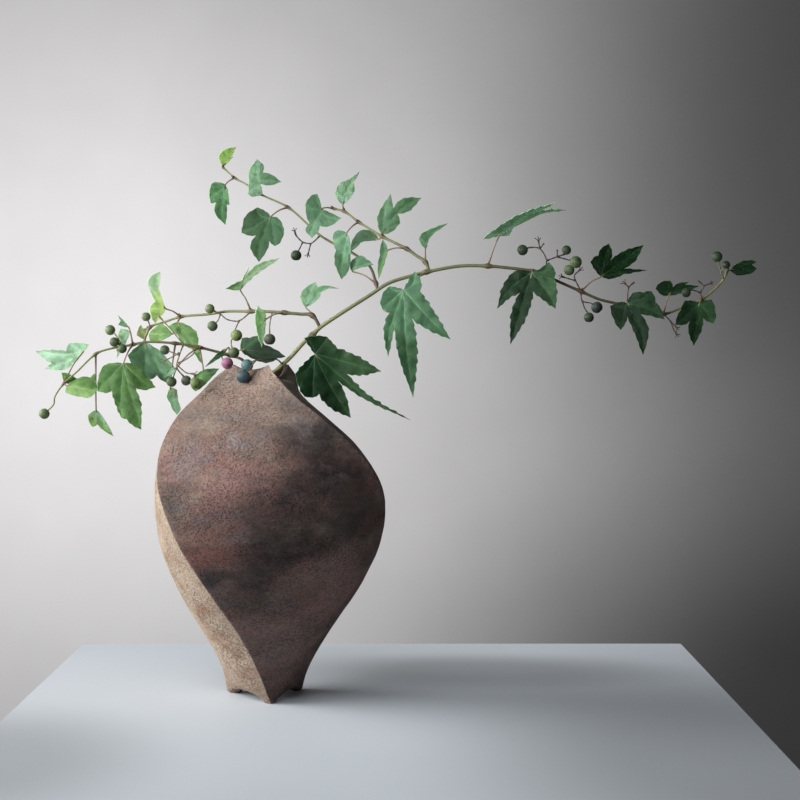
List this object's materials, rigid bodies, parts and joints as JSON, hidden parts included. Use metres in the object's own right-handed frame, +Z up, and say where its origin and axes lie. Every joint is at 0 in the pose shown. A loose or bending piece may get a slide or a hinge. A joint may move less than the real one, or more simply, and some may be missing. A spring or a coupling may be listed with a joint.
{
  "type": "branch arrangement in vase",
  "caption": "Berried vine cuttings with deeply lobed toothed leaves, arching sideways out of the small mouth of a twisting unglazed stoneware vase.",
  "frame": {"origin": "on the floor, in the middle of the flat underside of the vase's front foot", "axes": "+X along the long arm of the main stem, +Z up out of the mouth, -Y towards the viewer"},
  "size_m": [0.5482, 0.1731, 0.4177],
  "materials": {
    "stoneware": "dry unglazed stoneware, mottled pinkish brown, beige and blue grey, with fine dark pits",
    "water": "clear still water",
    "foliage": "living leaf, satin, dark to teal green, on olive brown stems",
    "berries": "thin brown stalks with small firm berries, pale green, blue, pink and purple, faintly glossy"
  },
  "bodies": {
    "root": {"vase": "stoneware", "water": "water", "main_stem": "foliage", "upper_shoot": "foliage", "thin_shoot": "foliage", "left_branch": "foliage", "low_stem": "foliage", "spray_thin_shoot": "berries", "spray_main_a": "berries", "spray_main_b": "berries", "spray_main_c": "berries", "spray_main_d": "berries", "spray_main_e": "berries", "spray_main_f": "berries", "spray_tip": "berries", "spray_left_a": "berries", "spray_left_b": "berries", "spray_left_c": "berries", "spray_mouth_left": "berries", "spray_mouth_front": "berries", "spray_low_a": "berries", "spray_low_b": "berries"}
  },
  "joints": []
}
